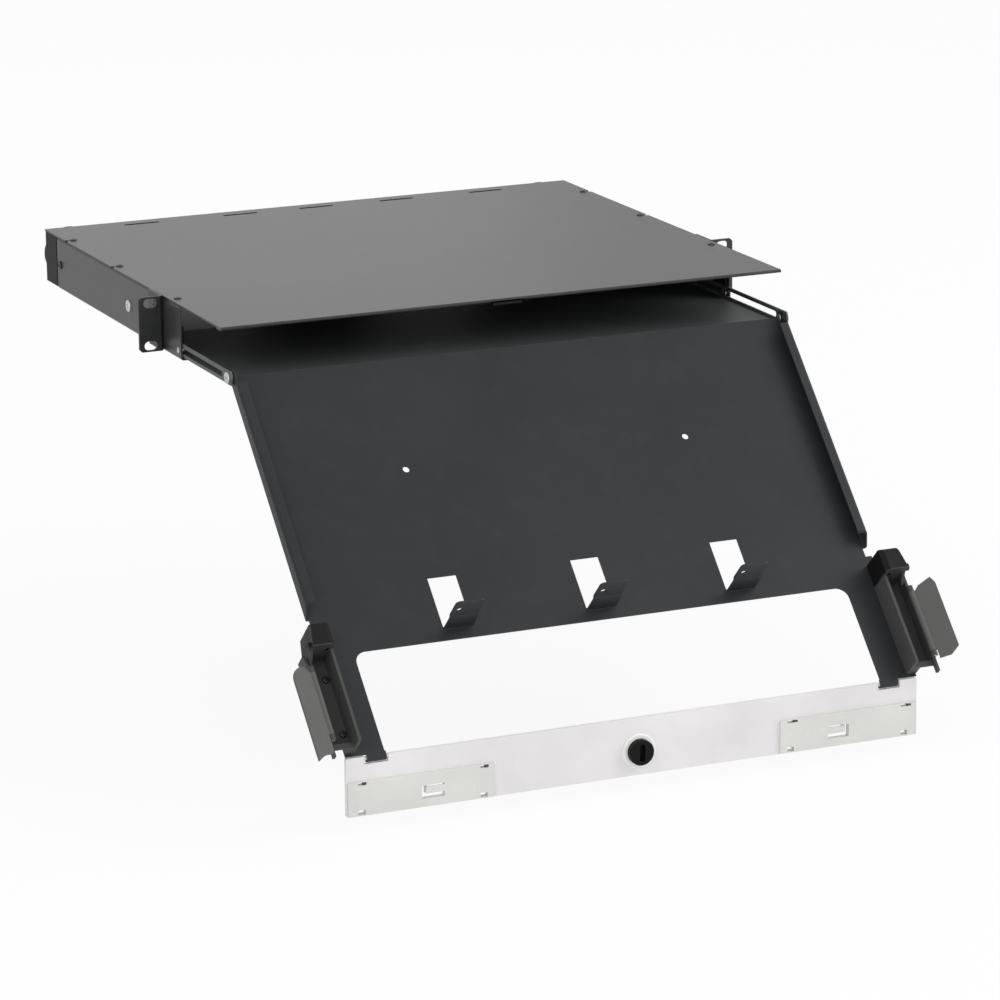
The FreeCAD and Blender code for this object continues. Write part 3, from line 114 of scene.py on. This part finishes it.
class Paint:
    """A material under construction: short calls for the nodes it needs."""

    def __init__(self, name):
        self.material = bpy.data.materials.new(name)
        self.material.use_nodes = True
        self.tree = self.material.node_tree
        self.tree.nodes.clear()
        self.shader = self.tree.nodes.new("ShaderNodeBsdfPrincipled")
        out = self.tree.nodes.new("ShaderNodeOutputMaterial")
        self.tree.links.new(self.shader.outputs[0], out.inputs["Surface"])
        self.place = self.tree.nodes.new("ShaderNodeTexCoord").outputs["Object"]

    def link(self, value, socket):
        """Join an output to a socket, or write a plain value on it."""
        if hasattr(value, "is_output"):
            self.tree.links.new(value, socket)
        else:
            socket.default_value = value

    def noise(self, scale, detail, roughness=0.55, stretch=None):
        node = self.tree.nodes.new("ShaderNodeTexNoise")
        node.inputs["Scale"].default_value = scale
        node.inputs["Detail"].default_value = detail
        node.inputs["Roughness"].default_value = roughness
        place = self.place
        if stretch:
            mapping = self.tree.nodes.new("ShaderNodeMapping")
            mapping.inputs["Scale"].default_value = stretch
            self.link(self.place, mapping.inputs["Vector"])
            place = mapping.outputs[0]
        self.link(place, node.inputs["Vector"])
        return node.outputs["Fac"]

    def cells(self, scale):
        node = self.tree.nodes.new("ShaderNodeTexVoronoi")
        node.inputs["Scale"].default_value = scale
        self.link(self.place, node.inputs["Vector"])
        return node.outputs["Distance"]

    def ramp(self, value, low, high, at=(0.3, 0.7)):
        """From low to high while value runs over the range at."""
        node = self.tree.nodes.new("ShaderNodeMapRange")
        node.inputs["From Min"].default_value = at[0]
        node.inputs["From Max"].default_value = at[1]
        node.inputs["To Min"].default_value = low
        node.inputs["To Max"].default_value = high
        self.link(value, node.inputs["Value"])
        return node.outputs[0]

    def mix(self, factor, first, second):
        node = self.tree.nodes.new("ShaderNodeMix")
        node.data_type = "RGBA"
        sockets = [s for s in node.inputs if s.enabled]
        for value, socket in zip((factor, first, second), sockets):
            self.link(value, socket)
        return next(s for s in node.outputs if s.enabled)

    def times(self, first, second):
        node = self.tree.nodes.new("ShaderNodeMath")
        node.operation = "MULTIPLY"
        self.link(first, node.inputs[0])
        self.link(second, node.inputs[1])
        return node.outputs[0]

    def vector_math(self, kind, first, second):
        node = self.tree.nodes.new("ShaderNodeVectorMath")
        node.operation = kind
        self.link(first, node.inputs[0])
        self.link(second, node.inputs[1])
        return node.outputs["Value" if kind == "DOT_PRODUCT" else "Vector"]

    def along_tray(self):
        """Distance from the tilt axis down the tray, at rest."""
        from_pivot = self.vector_math("SUBTRACT", self.place, tilt_pivot)
        return self.vector_math("DOT_PRODUCT", from_pivot, down_tray)

    def edges(self, radius):
        """Near 1 on convex and concave edges, 0 on flat faces."""
        bevel = self.tree.nodes.new("ShaderNodeBevel")
        bevel.samples = EDGE_SAMPLES
        bevel.inputs["Radius"].default_value = radius
        geometry = self.tree.nodes.new("ShaderNodeNewGeometry")
        facing = self.vector_math("DOT_PRODUCT", bevel.outputs[0], geometry.outputs["Normal"])
        return self.ramp(facing, 1.0, 0.0, at=EDGE_TO_FLAT)

    def clouded(self, texture, base, shades, tint):
        """The base shade, drifting in clouds between two multiples of it."""
        cloud = self.ramp(self.noise(**texture), 0.0, 1.0)
        return self.mix(cloud, grey(base * shades[0], tint), grey(base * shades[1], tint))

    def uneven_roughness(self, pattern, roughness, below, above):
        self.set(Roughness=self.ramp(pattern, roughness - below, roughness + above))

    def bump(self, height, strength, distance):
        node = self.tree.nodes.new("ShaderNodeBump")
        node.inputs["Strength"].default_value = strength
        node.inputs["Distance"].default_value = distance
        self.link(height, node.inputs["Height"])
        self.link(node.outputs[0], self.shader.inputs["Normal"])

    def set(self, **values):
        for key, value in values.items():
            self.link(value, self.shader.inputs[key.replace("_", " ")])


def grey(value, tint=(1.0, 1.0, 1.0)):
    return (value * tint[0], value * tint[1], value * tint[2], 1.0)


# Texture scales are waves a metre, edge radii and texture heights are metres, shades are multiples of the
# base.

COAT_CLOUD = {"scale": 7.0, "detail": 3.0}
COAT_DUST = {"scale": 60.0, "detail": 6.0, "roughness": 0.7}
COAT_RUB_AND_HIGHLIGHT = {"scale": 90.0, "detail": 3.0}
COAT_PEEL = {"scale": 1400.0, "detail": 2.0}
COAT_SHADES = (0.86, 1.12)
COAT_EDGE = 0.0009
COAT_HEIGHT = 0.00006
DUST_TINT = (1.0, 1.0, 0.98)
DUST_MOST = 0.5
DUST_PATCHES = (0.5, 0.8)
# Edges lighten toward the edge colour: rubbed wear on most coats, painted highlight on the rail coat.
RUB_AND_HIGHLIGHT_LEAST = 0.2
RUB_AND_HIGHLIGHT_SHARE = 0.55
SHEEN_ROUGHNESS = 0.35


def powder_coat(name, base, edge_colour, roughness=0.45, tint=(0.95, 1.0, 1.02), dust=0.02, sheen=0.0, gloss=0.5):
    """Fine textured baked coat: orange peel, faint dust and lighter edges, partly rubbed wear and partly
    painted highlight.
    """
    paint = Paint(name)
    peel = paint.noise(**COAT_PEEL)
    body = paint.clouded(COAT_CLOUD, base, COAT_SHADES, tint)
    dusting = paint.ramp(paint.noise(**COAT_DUST), 0.0, DUST_MOST, at=DUST_PATCHES)
    dusty = paint.mix(dusting, body, grey(base + dust, DUST_TINT))
    # Lighter edges: rubbed wear, and on the rail coat's bright edge colour painted highlight.
    rubbed_and_lit_edges = paint.times(paint.edges(COAT_EDGE), paint.ramp(paint.noise(**COAT_RUB_AND_HIGHLIGHT), RUB_AND_HIGHLIGHT_LEAST, 1.0))
    paint.set(Base_Color=paint.mix(paint.times(rubbed_and_lit_edges, RUB_AND_HIGHLIGHT_SHARE), dusty, grey(edge_colour, tint)))
    paint.set(Specular_IOR_Level=gloss, Sheen_Weight=sheen, Sheen_Roughness=SHEEN_ROUGHNESS)
    paint.uneven_roughness(peel, roughness, 0.05, 0.07)
    paint.bump(peel, 0.12, COAT_HEIGHT)
    return paint.material


MOULD_CLOUD = {"scale": 14.0, "detail": 3.0}
MOULD_SHINE = {"scale": 160.0, "detail": 3.0}
MOULD_SHADES = (0.92, 1.06)
MOULD_EDGE = 0.0006
MOULD_WEAR = 0.5
MOULD_HEIGHT = 0.00008
GLOW_DEPTH = (0.002, 0.002, 0.002)


def moulded(name, base, edge_colour, roughness=0.5, tint=(1.0, 1.0, 0.98), texture=700.0, bump=0.25,
            subsurface=0.0, head=None, gloss=0.5):
    """Moulded plastic with a fine spark texture; head is a darker shade ahead of the trough's start."""
    paint = Paint(name)
    body = paint.clouded(MOULD_CLOUD, base, MOULD_SHADES, tint)
    if head:
        past_head = paint.ramp(paint.along_tray(), 0.0, 1.0, at=(TROUGH_START, TROUGH_START + SHADE_CHANGE))
        body = paint.mix(past_head, grey(head), body)
    paint.set(Base_Color=paint.mix(paint.times(paint.edges(MOULD_EDGE), MOULD_WEAR), body, grey(edge_colour, tint)))
    paint.set(Specular_IOR_Level=gloss)
    if subsurface:
        paint.set(Subsurface_Weight=subsurface, Subsurface_Radius=GLOW_DEPTH)
    paint.uneven_roughness(paint.noise(**MOULD_SHINE), roughness, 0.05, 0.06)
    paint.bump(paint.cells(texture), bump, MOULD_HEIGHT)
    return paint.material


METAL_BRUSH = {"scale": 120.0, "detail": 4.0, "roughness": 0.6, "stretch": (1.0, 30.0, 30.0)}
METAL_CLOUD = {"scale": 45.0, "detail": 3.0}
METAL_STAIN = {"scale": 160.0, "detail": 5.0, "roughness": 0.7}
METAL_SHADES = (0.8, 1.0)
METAL_TINT = (1.0, 1.0, 0.98)
METAL_HEIGHT = 0.00005
STAIN_SHADE = 0.35
STAIN_PATCHES = (0.55, 0.75)


def bare_metal(name, base, roughness=0.32, stain=0.5):
    """Plated steel: brushed lines, cloudy patches and darker stains."""
    paint = Paint(name)
    lines = paint.noise(**METAL_BRUSH)
    body = paint.clouded(METAL_CLOUD, base, METAL_SHADES, METAL_TINT)
    stains = paint.ramp(paint.noise(**METAL_STAIN), 0.0, stain, at=STAIN_PATCHES)
    paint.set(Base_Color=paint.mix(stains, body, grey(base * STAIN_SHADE, METAL_TINT)), Metallic=1.0)
    paint.uneven_roughness(lines, roughness, 0.08, 0.1)
    paint.bump(lines, 0.15, METAL_HEIGHT)
    return paint.material


chassis_paint = powder_coat("chassis_powder_coat", 0.021, 0.08, 0.36, sheen=0.09)
rear_paint = powder_coat("rear_powder_coat", 0.006, 0.04, 0.5, dust=0.008, gloss=0.15)
tray_paint = powder_coat("tray_powder_coat", 0.027, 0.08, 0.42, tint=(0.88, 0.99, 1.1), dust=0.01,
                         gloss=0.25)
ear_paint = powder_coat("ear_powder_coat", 0.018, 0.1, 0.42)
# The rail coat's much lighter edge colour is painted highlight standing in for lit edge stripes along the
# rails.
rail_paint = powder_coat("rail_powder_coat", 0.08, 0.5, 0.5, dust=0.01)
zinc = bare_metal("zinc_plated_steel", 0.72)
screw_black = bare_metal("black_oxide_screws", 0.09, 0.36, stain=0.2)
plastic_black = moulded("black_moulded_plastic", 0.006, 0.04, 0.45, gloss=0.12)
plastic_guide = moulded("guide_moulded_plastic", 0.065, 0.13, 0.5, head=0.006, gloss=0.2)
plastic_flap = moulded("flap_moulded_plastic", 0.1, 0.16, 0.5, gloss=0.3)
rubber = moulded("seal_rubber", 0.012, 0.03, 0.7, texture=400.0)
door_plastic = moulded("door_frosted_plastic", 0.78, 0.86, 0.38, tint=(1.0, 0.98, 0.985), texture=900.0,
                       bump=0.08, subsurface=0.3)
bezel_plastic = moulded("latch_bezel_plastic", 0.86, 0.9, 0.3, texture=900.0, bump=0.05)
holder_plastic = moulded("label_holder_plastic", 0.7, 0.82, 0.22, tint=(0.99, 1.0, 0.965), texture=900.0,
                         bump=0.05, subsurface=0.2)
catch_plastic = moulded("catch_grey_plastic", 0.07, 0.12, 0.4, gloss=0.3)
card_paper = moulded("label_card_paper", 0.7, 0.8, 0.8, texture=1500.0, bump=0.2)

pieces_by_finish = (
    (chassis_paint, ("chassis_pan", "top_cover")),
    (rear_paint, ("rear_panel", "latch_keeper")),
    (tray_paint, ("tray_pan",)),
    (ear_paint, ("left_rack_ear", "right_rack_ear")),
    (rail_paint, ("slide_carriage",)),
    (zinc, ("side_screws", "rail_pins", "pivot_rivets", "left_flap_pin", "right_flap_pin")),
    (screw_black, ("ear_screws", "cover_screws", "rear_panel_screws", "guide_screws")),
    (plastic_black, ("left_rail_guide", "right_rail_guide", "left_cable_gland", "right_cable_gland",
                     "left_gland_nut", "right_gland_nut", "pivot_bushes", "latch_rotor", "latch_knob")),
    (plastic_guide, ("left_cord_guide", "right_cord_guide")),
    (plastic_flap, ("left_guide_flap", "right_guide_flap")),
    (rubber, ("left_gland_seal", "right_gland_seal")),
    (door_plastic, ("front_door",)),
    (bezel_plastic, ("latch_bezel",)),
    (holder_plastic, ("left_label_holder", "right_label_holder")),
    (card_paper, ("left_label_card", "right_label_card")),
)


def finish_node(node, material):
    piece = bpy.data.objects[node]
    if not piece.material_slots:
        piece.data.materials.append(material)
    for material_slot in piece.material_slots:
        material_slot.material = material


for material, nodes in pieces_by_finish:
    for node in nodes:
        finish_node(node, material)


# Dark snap heads at the upper catches of the label holders

CATCH_INSET = 0.009
CATCH_DROP = 0.0014
HEAD_SHIFT = 0.003
HEAD_SIZE = Vector((0.0036, 0.0012, 0.0019))
HEAD_SINK = 0.0009
HEAD_TAPER = 0.8
HEAD_ROUND = 0.00022


def snap_head(name, centre):
    """Small domed block, wider at its foot than at its face."""
    mesh = bpy.data.meshes.new(name)
    shape = bmesh.new()
    bmesh.ops.create_cube(shape, size=1.0)
    for corner in shape.verts:
        taper = HEAD_TAPER if corner.co.y < 0 else 1.0
        across, deep, high = (corner.co[k] * HEAD_SIZE[k] for k in range(3))
        corner.co = Vector((across * taper, deep, high * taper)) + centre
    bmesh.ops.bevel(shape, geom=list(shape.edges), offset=HEAD_ROUND, segments=2, affect="EDGES",
                    profile=0.6)
    shape.to_mesh(mesh)
    shape.free()
    piece = bpy.data.objects.new(name, mesh)
    scene.collection.objects.link(piece)
    mesh.materials.append(catch_plastic)
    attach(piece, "door")


for side in ("left", "right"):
    low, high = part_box(side + "_label_holder")
    left_catch, right_catch = low.x + CATCH_INSET, high.x - CATCH_INSET
    outer, inner = (left_catch, right_catch) if side == "left" else (right_catch, left_catch)
    for end, across in (("outer", outer), ("inner", inner)):
        snap_head(side + "_snap_head_" + end,
                  Vector((across + HEAD_SHIFT, low.y + HEAD_SINK - HEAD_SIZE.y / 2, high.z - CATCH_DROP)))


# Floor, surround and lights

FLOOR_HALF = 14.0
FLOOR_DROP = 0.012
FLOOR_COLOUR = 0.9
FLOOR_SEEN_WHITE = 0.9
WORLD_LIGHT = 0.8
WORLD_SEEN = 1.0


def white_floor():
    """Plain paper that takes the object's shadow; to the camera it is mostly pure white."""
    mesh = bpy.data.meshes.new("floor")
    z = cad_low.z - FLOOR_DROP
    corners = [(x * FLOOR_HALF, y * FLOOR_HALF, z) for x, y in ((-1, -1), (1, -1), (1, 1), (-1, 1))]
    mesh.from_pydata(corners, [], [(0, 1, 2, 3)])
    floor = bpy.data.objects.new("floor", mesh)
    scene.collection.objects.link(floor)
    material = bpy.data.materials.new("floor_paper")
    material.use_nodes = True
    tree = material.node_tree
    tree.nodes.clear()
    out = tree.nodes.new("ShaderNodeOutputMaterial")
    diffuse = tree.nodes.new("ShaderNodeBsdfDiffuse")
    diffuse.inputs["Color"].default_value = grey(FLOOR_COLOUR)
    white = tree.nodes.new("ShaderNodeEmission")
    white.inputs["Color"].default_value = grey(1.0)
    path = tree.nodes.new("ShaderNodeLightPath")
    share = tree.nodes.new("ShaderNodeMath")
    share.operation = "MULTIPLY"
    share.inputs[1].default_value = FLOOR_SEEN_WHITE
    mix = tree.nodes.new("ShaderNodeMixShader")
    tree.links.new(path.outputs["Is Camera Ray"], share.inputs[0])
    tree.links.new(share.outputs[0], mix.inputs[0])
    tree.links.new(diffuse.outputs[0], mix.inputs[1])
    tree.links.new(white.outputs[0], mix.inputs[2])
    tree.links.new(mix.outputs[0], out.inputs["Surface"])
    mesh.materials.append(material)


def studio_world():
    """Even white light all round, pure white to the camera."""
    world = bpy.data.worlds.new("studio")
    scene.world = world
    world.use_nodes = True
    tree = world.node_tree
    tree.nodes.clear()
    out = tree.nodes.new("ShaderNodeOutputWorld")
    back = tree.nodes.new("ShaderNodeBackground")
    back.inputs["Color"].default_value = grey(1.0)
    path = tree.nodes.new("ShaderNodeLightPath")
    level = tree.nodes.new("ShaderNodeMapRange")
    level.inputs["To Min"].default_value = WORLD_LIGHT
    level.inputs["To Max"].default_value = WORLD_SEEN
    tree.links.new(path.outputs["Is Camera Ray"], level.inputs["Value"])
    tree.links.new(level.outputs[0], back.inputs["Strength"])
    tree.links.new(back.outputs[0], out.inputs["Surface"])


def soft_light(name, place, target, size, power):
    data = bpy.data.lights.new(name, "AREA")
    data.shape = "SQUARE"
    data.size = size
    data.energy = power
    lamp = bpy.data.objects.new(name, data)
    scene.collection.objects.link(lamp)
    lamp.location = place
    lamp.rotation_mode = "QUATERNION"
    lamp.rotation_quaternion = (Vector(target) - Vector(place)).to_track_quat("-Z", "Y")


white_floor()
studio_world()
soft_light("behind", place=(0.7, 2.6, 0.6), target=(0, 0, 0), size=1.0, power=1.0)
soft_light("left", place=(-1.9, -2.0, 1.2), target=(0, -0.2, -0.1), size=1.4, power=10.0)
soft_light("right", place=(2.2, -1.2, 1.3), target=(0, -0.2, -0.1), size=1.6, power=28.0)
